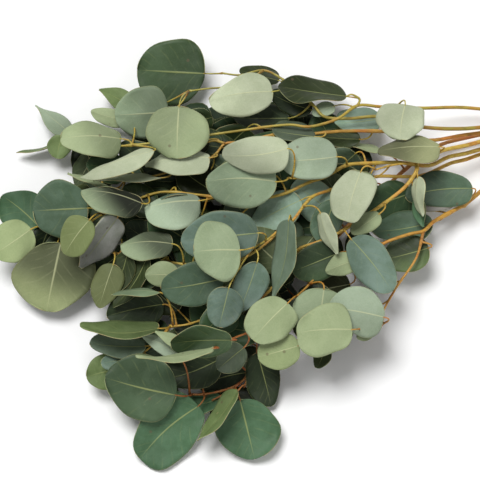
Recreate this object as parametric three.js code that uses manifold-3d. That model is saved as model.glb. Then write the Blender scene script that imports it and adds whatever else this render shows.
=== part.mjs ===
// A tied bunch of silver-dollar eucalyptus lying on its side.
// Millimetres, +Z up.  Stems run along X: leafy end at -X, cut ends at +X.
// Leaves are laid out as they are seen from in front and well above:
// "across" is to the right, "up" is up the sloping sight plane, and "height"
// is the true height over the table.

import * as THREE from 'three';
import { mergeVertices } from 'three/addons/utils/BufferGeometryUtils.js';
import Module from 'manifold-3d';

const wasm = await Module();
wasm.setup();

// The sight plane the layout is written in.
const SIGHT_RISE = THREE.MathUtils.degToRad(70);
const RIGHT = new THREE.Vector3(1, 0, 0);
const RISE = new THREE.Vector3(0, Math.sin(SIGHT_RISE), Math.cos(SIGHT_RISE));
const TOWARD = new THREE.Vector3(0, -Math.cos(SIGHT_RISE), Math.sin(SIGHT_RISE));

// The heap: its height falls off from the middle to the edges.
const HEAP_EDGE = 6;
const HEAP_TOP = 62;
const HEAP_HALF_ACROSS = 250;
const HEAP_HALF_UP = 205;
const HEAP_MIDDLE_UP = -5;
const LAYER = 8;
const LAYERS_AT_MOST = 10;

// Leaf blades.
const BLADE = 1.0;
const BLADE_STEPS = 8;
const BLADE_END = 0.9;
const SETTLE_STEP = 1.5;
const SETTLE_TRIES = 40;
const SETTLE_AIR = 1.2;
const TABLE_AIR = 1.5;
const LEAST_OVERLAP = 1e-4;
const WELD = 1e-4;

// Stems and leaf stalks.
const GAP = 0.35;
const STEM_SIDES = 6;
const STALK_SIDES = 5;
const STALK_BASE = 1.0;
const STALK_TIP = 0.75;
const STALK_LEAD = 11;
const STALK_STEPS = 3;
const STALKS_END_BEFORE = 100;
const TWIG_BASE = 1.2;
const TUBE_DETAIL = 1.3;
const SEARCH_DETAIL = 6;

// The rubber band round the stems and where the stems pass through it.
const BAND_ACROSS = 330;
const BAND_UP = 118;
const BAND_INSIDE = 10.4;
const BAND_OUTSIDE = 12.6;
const BAND_WIDE = 10;
const BAND_EDGE = 0.6;
const BAND_SEGMENTS = 28;
const SLOT_RING = 7;
const SLOTS_ROUND = 7;
const CUT_ACROSS = 372;
const CUT_SPREAD = 1.35;

// Each stem: slot in the band (0 is the middle), radii at band and tip,
// the main route and the side twigs, all as [across, up, height].
const STEMS = [
  { name: 'stem_top', slot: 1, thick: 2.0, thin: 0.9, cut: 2,
    route: [[230, 135, 22], [185, 134, 34], [142, 135, 46], [119, 136, 50], [98, 122, 57],
      [69, 114, 60], [50, 116, 60], [0, 110, 60], [-50, 103, 56], [-95, 97, 50],
      [-130, 95, 40], [-165, 101, 30]],
    twigs: [[[119, 136, 50], [121, 142, 53], [113, 147, 56], [107, 145, 58]]] },
  { name: 'stem_crown', slot: 2, thick: 2.3, thin: 0.9, cut: -3,
    route: [[230, 113, 34], [187, 114, 42], [160, 119, 44], [141, 125, 44], [110, 123, 44],
      [85, 125, 44], [75, 136, 43], [60, 150, 42], [44, 163, 40], [24, 173, 38],
      [0, 168, 37], [-18, 170, 36]],
    twigs: [[[24, 173, 38], [0, 157, 40], [-30, 154, 44], [-52, 151, 46]]] },
  { name: 'stem_upper', slot: 0, thick: 2.2, thin: 0.9, cut: 5,
    route: [[230, 107, 24], [190, 101, 33], [153, 109, 42], [107, 110, 48], [92, 109, 50],
      [60, 106, 52], [34, 106, 54], [0, 98, 54], [-15, 97, 54], [-27, 84, 52],
      [-60, 72, 46], [-100, 62, 38], [-140, 62, 28]],
    twigs: [[[-15, 97, 54], [-25, 100, 56], [-34, 98, 57]]] },
  { name: 'stem_yellow', slot: 3, thick: 2.4, thin: 0.9, cut: 0,
    route: [[230, 96, 38], [200, 89, 50], [178, 78, 60], [177, 70, 60], [167, 55, 58],
      [153, 43, 56], [130, 27, 56], [119, 20, 56], [100, 8, 53], [80, -1, 51],
      [57, -10, 49], [49, -22, 47], [30, -50, 42], [0, -70, 38], [-34, -78, 36],
      [-53, -84, 36], [-70, -86, 36]],
    twigs: [[[178, 78, 60], [153, 75, 70], [135, 70, 80]]] },
  { name: 'stem_middle', slot: 4, thick: 2.4, thin: 0.9, cut: -4,
    route: [[230, 88, 28], [211, 84, 34], [190, 75, 42], [160, 78, 48], [131, 77, 56],
      [107, 75, 60], [85, 63, 60], [70, 58, 58], [40, 45, 55], [0, 40, 52],
      [-40, 45, 50], [-80, 48, 46], [-110, 38, 43], [-137, 26, 40], [-160, 14, 32],
      [-190, 10, 24]],
    twigs: [[[85, 63, 60], [68, 61, 66], [48, 62, 71]]] },
  { name: 'stem_long', slot: 6, thick: 2.2, thin: 0.9, cut: 3,
    route: [[230, 82, 18], [214, 78, 22], [184, 65, 28], [164, 64, 34], [138, 64, 38],
      [110, 57, 44], [90, 50, 50], [72, 43, 57], [63, 33, 60], [51, 18, 62],
      [43, 14, 62], [30, 0, 60], [0, -20, 52], [-40, -26, 44], [-80, -20, 38],
      [-120, -14, 30], [-155, -4, 24]],
    twigs: [[[43, 14, 62], [28, 1, 68], [13, -8, 74]]] },
  { name: 'stem_orange', slot: 5, thick: 2.5, thin: 0.9, cut: -2,
    route: [[230, 38, 20], [214, 29, 26], [194, 18, 33], [184, 9, 37], [170, 6, 40],
      [142, -4, 42], [115, -22, 40], [95, -33, 41], [77, -37, 44], [64, -49, 46],
      [56, -56, 47]],
    twigs: [
      [[184, 9, 37], [176, -18, 40], [156, -47, 38], [142, -73, 34], [141, -85, 32],
        [124, -87, 34]],
      [[142, -4, 42], [136, -1, 45], [131, -4, 47]]] },
  { name: 'stem_low', slot: 7, thick: 2.2, thin: 0.9, cut: 4,
    route: [[230, 104, 12], [200, 95, 13], [160, 65, 14], [130, 35, 14], [100, 5, 14],
      [80, -22, 15], [62, -60, 17], [45, -95, 17], [27, -119, 18], [15, -126, 18],
      [0, -142, 18], [-13, -148, 18], [-36, -153, 19], [-50, -153, 20]],
    twigs: [
      [[0, -142, 18], [-14, -152, 17], [-28, -159, 17]],
      [[15, -126, 18], [7, -138, 17], [4, -146, 17]],
      [[45, -95, 17], [26, -88, 38], [7, -92, 56], [-10, -98, 66], [-26, -105, 70]]] },
];

// Each leaf: base [across, up], the way it points (degrees, 0 right, 90 up),
// length, width, pitch (tip toward the eye), roll (left edge toward the eye),
// layer on the heap (below 0 lies under the stems), which face shows, and its
// form: [ovate, fold, arch, wave].
const LEAVES = [
  // Top of the heap, from the crown down to the left edge.
  ['crown_round', -36, 170, 177, 69, 71, 0, 0, 1, 'upper', [0.05, 0.06, 0.03, 0]],
  ['crown_grey', -73, 130, 183, 55, 52, -8, -12, 0, 'under', [0.1, 0.12, 0.05, 0]],
  ['crown_front', -61, 134, 268, 53, 64, 8, 4, 3, 'under', [0.05, 0.05, 0.04, 0]],
  ['crown_pale', 33, 150, 188, 66, 47, 10, 8, 3, 'under', [0.08, 0.08, 0.05, 0]],
  ['crown_dark', 108, 146, 172, 70, 40, 6, 50, 2, 'upper', [0.12, 0.1, 0.05, 0.12]],
  ['left_pale', -120, 102, 180, 61, 46, 4, 24, 1, 'under', [0.1, 0.12, 0.05, 0]],
  ['left_folded', -86, 89, 200, 78, 48, 0, 64, 2, 'under', [0.18, 0.22, 0.06, 0]],
  ['left_under', -30, 82, 187, 66, 50, -6, 50, 1, 'under', [0.1, 0.1, 0.05, 0]],
  ['left_edge_on', -79, 62, 182, 68, 34, 0, 78, 0, 'under', [0.15, 0.05, 0.04, 0]],
  ['left_shaded', -97, 36, 168, 62, 50, 0, 40, 0, 'under', [0.12, 0.12, 0.05, 0]],
  ['left_half', -40, 39, 188, 56, 60, -6, 30, 1, 'under', [0.1, 0.1, 0.04, 0]],
  ['left_blue', -152, 32, 183, 55, 59, 0, 0, 2, 'upper', [0.05, 0.06, 0.03, 0]],
  ['left_yellow', -149, 20, 234, 42, 34, 0, 0, 4, 'under', [0.12, 0.08, 0.05, 0]],
  ['left_end_up', -203, 14, 140, 48, 46, 0, 12, 1, 'upper', [0.08, 0.08, 0.04, 0]],
  ['left_end_pale', -209, 11, 214, 46, 42, 6, 0, 3, 'under', [0.08, 0.08, 0.05, 0]],
  ['left_purple', -122, 22, 233, 62, 44, -4, -42, 1, 'upper', [0.2, 0.16, 0.05, 0]],
  ['left_big', -179, -3, 258, 70, 80, -4, 0, 0, 'under', [0.05, 0.08, 0.05, 0]],
  // Middle of the heap.
  ['middle_shaded', -67, -4, 182, 52, 42, -4, 34, 0, 'under', [0.1, 0.1, 0.05, 0]],
  ['middle_grey', -17, -38, 190, 62, 46, -4, -6, 1, 'upper', [0.08, 0.08, 0.05, 0]],
  ['middle_front', 0, -10, 182, 46, 60, 8, 4, 4, 'under', [0.06, 0.1, 0.05, 0]],
  ['middle_blue', 18, 7, 186, 77, 52, -4, 0, 2, 'upper', [0.08, 0.08, 0.04, 0]],
  ['middle_small', -11, -47, 256, 40, 36, 0, 4, 2, 'upper', [0.1, 0.08, 0.05, 0]],
  ['middle_drop', 17, -22, 250, 52, 34, 0, -6, 1, 'upper', [0.1, 0.1, 0.05, 0]],
  ['middle_narrow', 48, 20, 259, 78, 36, 0, 50, 1, 'upper', [0.2, 0.1, 0.05, 0]],
  ['middle_wave', 48, 91, 186, 66, 42, 4, 8, 3, 'under', [0.05, 0.1, 0.05, 0.1]],
  ['middle_curved', 36, 58, 180, 70, 56, 4, 0, 2, 'under', [0.05, 0.1, 0.06, 0.12]],
  ['middle_wide', 97, 83, 184, 58, 42, -4, 0, 1, 'under', [0.1, 0.08, 0.04, 0]],
  ['middle_behind', 61, 40, 207, 58, 38, -4, 20, -2, 'upper', [0.15, 0.08, 0.04, 0]],
  ['middle_round', 94, 25, 143, 52, 38, 4, 0, -1, 'upper', [0.05, 0.08, 0.05, 0]],
  ['middle_pale', 120, 68, 254, 52, 41, 6, 0, 4, 'under', [0.08, 0.08, 0.05, 0]],
  // Lower left.
  ['low_folded', -80, -87, 178, 78, 40, 4, 60, 2, 'upper', [0.15, 0.16, 0.06, 0.06]],
  ['low_olive', -8, -98, 183, 60, 40, 0, -42, 1, 'upper', [0.12, 0.1, 0.05, 0]],
  ['low_edge_on', -26, -106, 185, 76, 34, 0, 76, 2, 'under', [0.15, 0.05, -0.08, 0]],
  ['low_green', -63, -153, 166, 72, 66, 4, 0, 1, 'upper', [0.1, 0.06, 0.05, 0]],
  ['low_corner', -41, -164, 222, 78, 60, 0, 0, 0, 'upper', [0.1, 0.08, 0.05, 0]],
  ['low_narrow', -2, -148, 231, 64, 30, 4, 62, 1, 'upper', [0.2, 0.2, 0.05, 0]],
  ['low_round', 0, -158, 284, 60, 63, 0, 0, 0, 'upper', [0.05, 0.07, 0.05, 0]],
  // Lower right.
  ['right_a', 47, -62, 226, 50, 46, 6, 0, 2, 'under', [0.08, 0.07, 0.05, 0]],
  ['right_b', 83, -48, 262, 54, 54, 0, 0, 1, 'under', [0.08, 0.08, 0.05, 0]],
  ['right_c', 110, -88, 183, 55, 52, 8, 0, 3, 'under', [0.08, 0.08, 0.05, 0]],
  ['right_d', 142, -76, 170, 56, 48, -2, 0, 2, 'under', [0.1, 0.08, 0.05, 0]],
  ['right_e', 58, -104, 196, 42, 36, -6, 0, 1, 'under', [0.1, 0.1, 0.05, 0]],
  ['right_f', 110, 1, 308, 66, 40, 4, 0, 2, 'upper', [0.1, 0.07, 0.05, 0]],
  ['right_g', 189, -8, 195, 46, 38, 0, 20, -1, 'upper', [0.1, 0.08, 0.05, 0]],
  ['right_h', 100, -12, 202, 52, 36, 0, 0, -1, 'upper', [0.12, 0.08, 0.05, 0]],
  // Right, over the bare stems.
  ['right_blue', 144, 124, 185, 48, 40, 0, 46, -1, 'upper', [0.12, 0.08, 0.05, 0]],
  ['right_hanging', 166, 136, 262, 36, 46, 6, 0, 4, 'under', [0.08, 0.08, 0.05, 0]],
  ['right_shaded', 200, 93, 184, 62, 44, -4, 46, 3, 'under', [0.1, 0.12, 0.05, 0]],
  ['right_pointed', 178, 63, 277, 40, 28, 4, 60, 3, 'under', [0.2, 0.12, 0.05, 0]],
  ['right_teal', 234, 52, 187, 68, 38, -2, 8, 1, 'upper', [0.08, 0.08, 0.05, 0]],
  ['right_long', 194, 18, 189, 62, 40, 0, 38, -1, 'upper', [0.12, 0.1, 0.05, 0]],
];

const COLOURS = {
  upper: { colour: '#5b7a6c', rough: 0.62 },
  under: { colour: '#a9b995', rough: 0.7 },
  stem: { colour: '#a39a3c', rough: 0.55 },
  band: { colour: '#b98d54', rough: 0.6 },
};

// A point given by its place in the sight plane and its height.
function place(across, up, height) {
  const toward = (height - up * RISE.z) / TOWARD.z;
  return inSight(across, up, toward);
}

function inSight(across, up, toward) {
  return new THREE.Vector3()
    .addScaledVector(RIGHT, across)
    .addScaledVector(RISE, up)
    .addScaledVector(TOWARD, toward);
}

function heapHeight(across, up) {
  const sideways = Math.max(0, 1 - (across / HEAP_HALF_ACROSS) ** 2);
  const lengthways = Math.max(0, 1 - ((up - HEAP_MIDDLE_UP) / HEAP_HALF_UP) ** 2);
  return HEAP_EDGE + HEAP_TOP * sideways * lengthways;
}

function toSolid(geometry) {
  const bare = geometry.clone();
  bare.deleteAttribute('normal');
  bare.deleteAttribute('uv');
  const welded = mergeVertices(bare, WELD);
  const mesh = new wasm.Mesh({
    numProp: 3,
    vertProperties: new Float32Array(welded.attributes.position.array),
    triVerts: new Uint32Array(welded.index.array),
  });
  return new wasm.Manifold(mesh);
}

function toGeometry(solid) {
  const mesh = solid.getMesh();
  const geometry = new THREE.BufferGeometry();
  geometry.setAttribute('position', new THREE.BufferAttribute(mesh.vertProperties, 3));
  geometry.setIndex(new THREE.BufferAttribute(mesh.triVerts, 1));
  geometry.computeVertexNormals();
  return geometry;
}

function largestPiece(solid) {
  const pieces = solid.decompose();
  pieces.sort((one, other) => other.volume() - one.volume());
  return pieces[0];
}

function mix(one, share, other, otherShare) {
  return one.clone().multiplyScalar(share).addScaledVector(other, otherShare);
}

// The leaf's own axes: along the midrib, to the left edge, out of the upper face.
function leafAxes(leaf) {
  const turn = THREE.MathUtils.degToRad(leaf.heading);
  const pitch = THREE.MathUtils.degToRad(leaf.pitch);
  const roll = THREE.MathUtils.degToRad(leaf.roll);
  const flat = mix(RIGHT, Math.cos(turn), RISE, Math.sin(turn));
  const side = mix(RIGHT, -Math.sin(turn), RISE, Math.cos(turn));
  const along = mix(flat, Math.cos(pitch), TOWARD, Math.sin(pitch));
  const lifted = mix(flat, -Math.sin(pitch), TOWARD, Math.cos(pitch));
  const left = mix(side, Math.cos(roll), lifted, Math.sin(roll));
  const out = mix(side, -Math.sin(roll), lifted, Math.cos(roll));
  if (leaf.face === 'under') {
    left.negate();
    out.negate();
  }
  return { along, left, out };
}

// The base of a leaf whose middle lies at its layer on the heap.
function leafBase(leaf) {
  const turn = THREE.MathUtils.degToRad(leaf.heading);
  const pitch = THREE.MathUtils.degToRad(leaf.pitch);
  const half = 0.5 * leaf.length;
  const middleAcross = leaf.across + half * Math.cos(pitch) * Math.cos(turn);
  const middleUp = leaf.up + half * Math.cos(pitch) * Math.sin(turn);
  const height = heapHeight(middleAcross, middleUp) + LAYER * leaf.layer;
  const toward = (height - middleUp * RISE.z) / TOWARD.z;
  return inSight(leaf.across, leaf.up, toward - half * Math.sin(pitch));
}

// A thin blade: a box drawn out to the outline, folded and arched.
function bladeGeometry(leaf, base, thickness) {
  const axes = leafAxes(leaf);
  const [ovate, fold, arch, wave] = leaf.form;
  const geometry = new THREE.BoxGeometry(1, 1, 1, BLADE_STEPS, 2, 1);
  const points = geometry.attributes.position;
  for (let i = 0; i < points.count; i += 1) {
    const angle = Math.PI * (points.getX(i) + 0.5);
    const run = 0.5 * (1 - Math.cos(angle));
    const side = 2 * points.getY(i);
    const swell = Math.sin(angle) * (1 + ovate * Math.cos(angle));
    const half = Math.max(BLADE_END, 0.5 * leaf.width * swell);
    const lift = fold * Math.abs(side) * half
      - arch * leaf.length * Math.sin(Math.PI * run)
      + wave * side * half * Math.sin(2 * Math.PI * run)
      + points.getZ(i) * thickness;
    const spot = base.clone()
      .addScaledVector(axes.along, leaf.length * run)
      .addScaledVector(axes.left, side * half)
      .addScaledVector(axes.out, lift);
    points.setXYZ(i, spot.x, spot.y, spot.z);
  }
  return geometry;
}

// A round tube along a smooth route, thinning from one end to the other.
function tubeGeometry(route, fromRadius, toRadius, sides, steps) {
  const curve = new THREE.CatmullRomCurve3(route, false, 'centripetal');
  const frames = curve.computeFrenetFrames(steps, false);
  const spots = curve.getSpacedPoints(steps);
  const geometry = new THREE.CylinderGeometry(1, 1, 1, sides, steps);
  const points = geometry.attributes.position;
  for (let i = 0; i < points.count; i += 1) {
    const ring = Math.round((0.5 - points.getY(i)) * steps);
    const radius = fromRadius + (toRadius - fromRadius) * ring / steps;
    const spot = spots[ring].clone()
      .addScaledVector(frames.normals[ring], points.getX(i) * radius)
      .addScaledVector(frames.binormals[ring], points.getZ(i) * radius);
    points.setXYZ(i, spot.x, spot.y, spot.z);
  }
  return geometry;
}

function tubeSolid(tube, extra) {
  const geometry = tubeGeometry(
    tube.route, tube.from + extra, tube.to + extra, tube.sides, tube.steps);
  const solid = toSolid(geometry);
  if (solid.volume() < 0) {
    geometry.index.array.reverse();
    return toSolid(geometry);
  }
  return solid;
}

function bandCentre() {
  return place(BAND_ACROSS, BAND_UP, BAND_OUTSIDE);
}

// The stem's way through the band and out to its cut end.
function bundlePoints(stem) {
  const centre = bandCentre();
  const angle = 2 * Math.PI * (stem.slot - 1) / SLOTS_ROUND;
  const ring = stem.slot === 0 ? 0 : SLOT_RING;
  const aside = new THREE.Vector3(0, ring * Math.cos(angle), ring * Math.sin(angle));
  const leaving = centre.clone().add(aside);
  const entering = leaving.clone();
  leaving.x += BAND_WIDE;
  entering.x -= BAND_WIDE;
  const cut = centre.clone().addScaledVector(aside, CUT_SPREAD);
  cut.x = CUT_ACROSS + stem.cut;
  return [cut, leaving, entering];
}

function overlaps(one, other) {
  const a = one.boundingBox();
  const b = other.boundingBox();
  for (let axis = 0; axis < 3; axis += 1) {
    if (a.min[axis] > b.max[axis] || b.min[axis] > a.max[axis]) {
      return false;
    }
  }
  return one.intersect(other).volume() > LEAST_OVERLAP;
}

// The main stems and their side twigs, each belonging to one of STEMS.
function stemTubes(stem, owner) {
  const main = [...bundlePoints(stem), ...stem.route.map((spot) => place(...spot))];
  const twigs = stem.twigs.map((twig) => {
    const route = twig.map((spot) => place(...spot));
    return { owner, route, from: TWIG_BASE, to: STALK_TIP, sides: STALK_SIDES,
      steps: Math.round(TUBE_DETAIL * route.length) };
  });
  return [
    { owner, route: main, from: stem.thick, to: stem.thin, sides: STEM_SIDES,
      steps: Math.round(TUBE_DETAIL * main.length) },
    ...twigs,
  ];
}

function settleOrder(leaf) {
  return leaf.layer < 0 ? -LAYERS_AT_MOST - leaf.layer : leaf.layer;
}

// Moves a leaf along the line of sight until it is clear of everything placed
// so far and of the table: down if it lies under the stems, otherwise up.
function settle(leaf, placed) {
  const start = leafBase(leaf);
  const step = leaf.layer < 0 ? -SETTLE_STEP : SETTLE_STEP;
  for (let i = 0; i < SETTLE_TRIES; i += 1) {
    leaf.base = start.clone().addScaledVector(TOWARD, i * step);
    const padded = toSolid(bladeGeometry(leaf, leaf.base, BLADE + SETTLE_AIR));
    const hit = placed.some((other) => overlaps(padded, other));
    if (!hit && padded.boundingBox().min[2] > TABLE_AIR) {
      break;
    }
  }
  leaf.solid = toSolid(bladeGeometry(leaf, leaf.base, BLADE));
  placed.push(leaf.solid);
}

// The nearest point on any stem or twig, and the stem it belongs to.
function nearestPoint(tubes, target) {
  let best = null;
  tubes.forEach((tube) => {
    const curve = new THREE.CatmullRomCurve3(tube.route, false, 'centripetal');
    curve.getSpacedPoints(SEARCH_DETAIL * tube.route.length).forEach((spot) => {
      const far = spot.distanceTo(target);
      const free = spot.x < BAND_ACROSS - STALKS_END_BEFORE;
      if (free && (best === null || far < best.far)) {
        best = { spot, far, owner: tube.owner };
      }
    });
  });
  return best;
}

// A stalk bows from the nearest stem or twig to the foot of the leaf.
function leafStalk(tubes, leaf) {
  const along = leafAxes(leaf).along;
  const lead = leaf.base.clone().addScaledVector(along, -STALK_LEAD);
  const end = leaf.base.clone().addScaledVector(along, -GAP);
  const root = nearestPoint(tubes, lead);
  const bow = new THREE.QuadraticBezierCurve3(root.spot, lead, end);
  return { owner: root.owner, route: bow.getPoints(STALK_STEPS), from: STALK_BASE,
    to: STALK_TIP, sides: STALK_SIDES, steps: STALK_STEPS };
}

function joined(tubes, extra) {
  return tubes.map((tube) => tubeSolid(tube, extra)).reduce((whole, solid) => whole.add(solid));
}

// A flat ring with softened edges, its axis along the stems.
function bandGeometry() {
  const halfWide = BAND_WIDE / 2;
  const profile = [
    [BAND_INSIDE, -halfWide + BAND_EDGE],
    [BAND_INSIDE + BAND_EDGE, -halfWide],
    [BAND_OUTSIDE - BAND_EDGE, -halfWide],
    [BAND_OUTSIDE, -halfWide + BAND_EDGE],
    [BAND_OUTSIDE, halfWide - BAND_EDGE],
    [BAND_OUTSIDE - BAND_EDGE, halfWide],
    [BAND_INSIDE + BAND_EDGE, halfWide],
    [BAND_INSIDE, halfWide - BAND_EDGE],
    [BAND_INSIDE, -halfWide + BAND_EDGE],
  ].map(([radius, along]) => new THREE.Vector2(radius, along));
  const geometry = new THREE.LatheGeometry(profile, BAND_SEGMENTS);
  const centre = bandCentre();
  geometry.rotateZ(-Math.PI / 2);
  geometry.translate(centre.x, centre.y, centre.z);
  return geometry;
}

function mesh(name, solid, look) {
  const material = new THREE.MeshStandardMaterial({
    color: look.colour, roughness: look.rough, metalness: 0 });
  const node = new THREE.Mesh(toGeometry(solid), material);
  node.name = name;
  return node;
}

const tubes = STEMS.flatMap(stemTubes);
const leaves = LEAVES.map(([name, across, up, heading, length, width, pitch, roll,
  layer, face, form]) => (
  { name: `leaf_${name}`, across, up, heading, length, width, pitch, roll, layer, face, form }));

// Leaves under the stems are placed from the stems down, the others upward.
const placed = tubes.map((tube) => tubeSolid(tube, GAP));
[...leaves]
  .sort((one, other) => settleOrder(one) - settleOrder(other))
  .forEach((leaf) => settle(leaf, placed));
const stalks = leaves.map((leaf) => leafStalk(tubes, leaf));

const group = new THREE.Group();
group.name = 'eucalyptus_bunch';

STEMS.forEach((stem, owner) => {
  const own = [...tubes, ...stalks].filter((tube) => tube.owner === owner);
  group.add(mesh(stem.name, largestPiece(joined(own, 0)), COLOURS.stem));
});

// Each blade is cut back a little where a stalk passes it.
const stalkRoom = STEMS
  .map((stem, owner) => stalks.filter((tube) => tube.owner === owner))
  .filter((own) => own.length > 0)
  .map((own) => joined(own, GAP));
leaves.forEach((leaf) => {
  const solid = stalkRoom
    .filter((room) => overlaps(leaf.solid, room))
    .reduce((rest, room) => largestPiece(rest.subtract(room)), leaf.solid);
  group.add(mesh(leaf.name, solid, COLOURS[leaf.face]));
});

group.add(mesh('rubber_band', toSolid(bandGeometry()), COLOURS.band));

// Bring the middle of the footprint to the origin and the lowest point to the table.
const bounds = new THREE.Box3().setFromObject(group);
const shift = new THREE.Vector3(
  -(bounds.min.x + bounds.max.x) / 2, -(bounds.min.y + bounds.max.y) / 2, -bounds.min.z);
group.children.forEach((node) => {
  node.geometry.translate(shift.x, shift.y, shift.z);
});

export default group;
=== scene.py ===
"""A tied bunch of silver-dollar eucalyptus lying on a pale table."""

import math

import bmesh
import bpy
from mathutils import Matrix, Vector
from mathutils.bvhtree import BVHTree


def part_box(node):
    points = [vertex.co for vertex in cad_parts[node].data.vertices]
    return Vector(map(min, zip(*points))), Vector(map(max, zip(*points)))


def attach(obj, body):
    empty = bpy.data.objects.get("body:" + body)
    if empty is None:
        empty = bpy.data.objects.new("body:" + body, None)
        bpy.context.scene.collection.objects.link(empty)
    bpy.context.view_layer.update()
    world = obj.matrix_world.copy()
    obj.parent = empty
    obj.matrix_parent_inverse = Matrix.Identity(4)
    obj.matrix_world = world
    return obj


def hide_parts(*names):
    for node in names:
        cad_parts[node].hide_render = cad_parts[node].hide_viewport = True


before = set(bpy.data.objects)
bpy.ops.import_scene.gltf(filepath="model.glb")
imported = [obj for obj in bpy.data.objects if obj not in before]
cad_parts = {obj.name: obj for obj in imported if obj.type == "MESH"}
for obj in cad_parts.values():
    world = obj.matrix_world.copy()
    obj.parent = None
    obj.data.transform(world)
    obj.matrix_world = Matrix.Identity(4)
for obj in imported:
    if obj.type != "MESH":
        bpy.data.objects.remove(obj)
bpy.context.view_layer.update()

MM = 0.001

# ---------------------------------------------------------------- layout
# Places are given as seen from in front and well above: across to the right,
# up the sloping sight plane, and either the true height or the distance
# toward the eye.  Everything in the lists is in millimetres.
SIGHT_RISE = math.radians(70)
RIGHT = Vector((1, 0, 0))
RISE = Vector((0, math.sin(SIGHT_RISE), math.cos(SIGHT_RISE)))
TOWARD = Vector((0, -math.cos(SIGHT_RISE), math.sin(SIGHT_RISE)))

HEAP_EDGE = 6
HEAP_TOP = 62
HEAP_HALF_ACROSS = 250
HEAP_HALF_UP = 205
HEAP_MIDDLE_UP = -5
LAYER = 8
BLADE_END = 0.9

BAND_ACROSS = 330
BAND_UP = 118
BAND_OUTSIDE = 12.6
BAND_WIDE = 10
SLOT_RING = 7
SLOTS_ROUND = 7
CUT_ACROSS = 372
CUT_SPREAD = 1.35

# The band's winds: a strand's half width, the steps round a wind, and the
# directions in which the stems' outer sides are felt for.
WINDS = 4
STRAND = 1.15
BAND_STEPS = 56
BAND_FACINGS = 72
STEM_IN_BAND = 2.55

# Twigs and leaf stalks: radii, how finely their routes are stepped, how far a
# stalk may reach for a stem, and how near the band the stems are bare.
TWIG_THICK = 1.25
TWIG_THIN = 0.8
STALK_THICK = 1.0
STALK_THIN = 0.62
STALK_LEAD = 11
STALK_REACH = 60
LOWER_STALK_REACH = 26
STALKS_APART = 6
SHORT_STALK = 6
BARE_LENGTH = 100
ROUTE_STEPS = 5
STALK_STEPS = 8

# Blades: thickness, mesh steps along and across, the coarse net by which leaves
# are kept apart, and how far above the table they stay.
LEAF_THICK = 0.55
SMALL_LEAF_THICK = 0.5
LEAF_STEPS = (22, 14)
SMALL_STEPS = (18, 12)
LOWER_STEPS = (10, 4)
NET_ALONG = 8
NET_ACROSS = 4
TABLE_GAP = 0.6

# How often, and by how much each time, a leaf is shifted to find a free place.
EASE_STEP = 0.5
EASE_TRIES = 12
SMALL_TUCK = (14, 2.0)
LOWER_TUCK = (12, 2.5)

# The lower leaves' scatter and the painted shade of those past the edge of
# the mass, and how much blue the tints keep, less in the lower leaves to warm
# their painted shade.
LOWER_SCATTER = 16
EDGE_SHADE = 0.5
WARMTH = 0.95
LOWER_WARMTH = 0.75

# The camera: its distance and the width it sees in metres, its sensor, and how
# far toward the eye the place lies that it looks at.
CAMERA_FAR = 3.6
VIEW_WIDE = 0.48
CAMERA_SENSOR = 36
LOOK_TOWARD = 45

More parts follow.
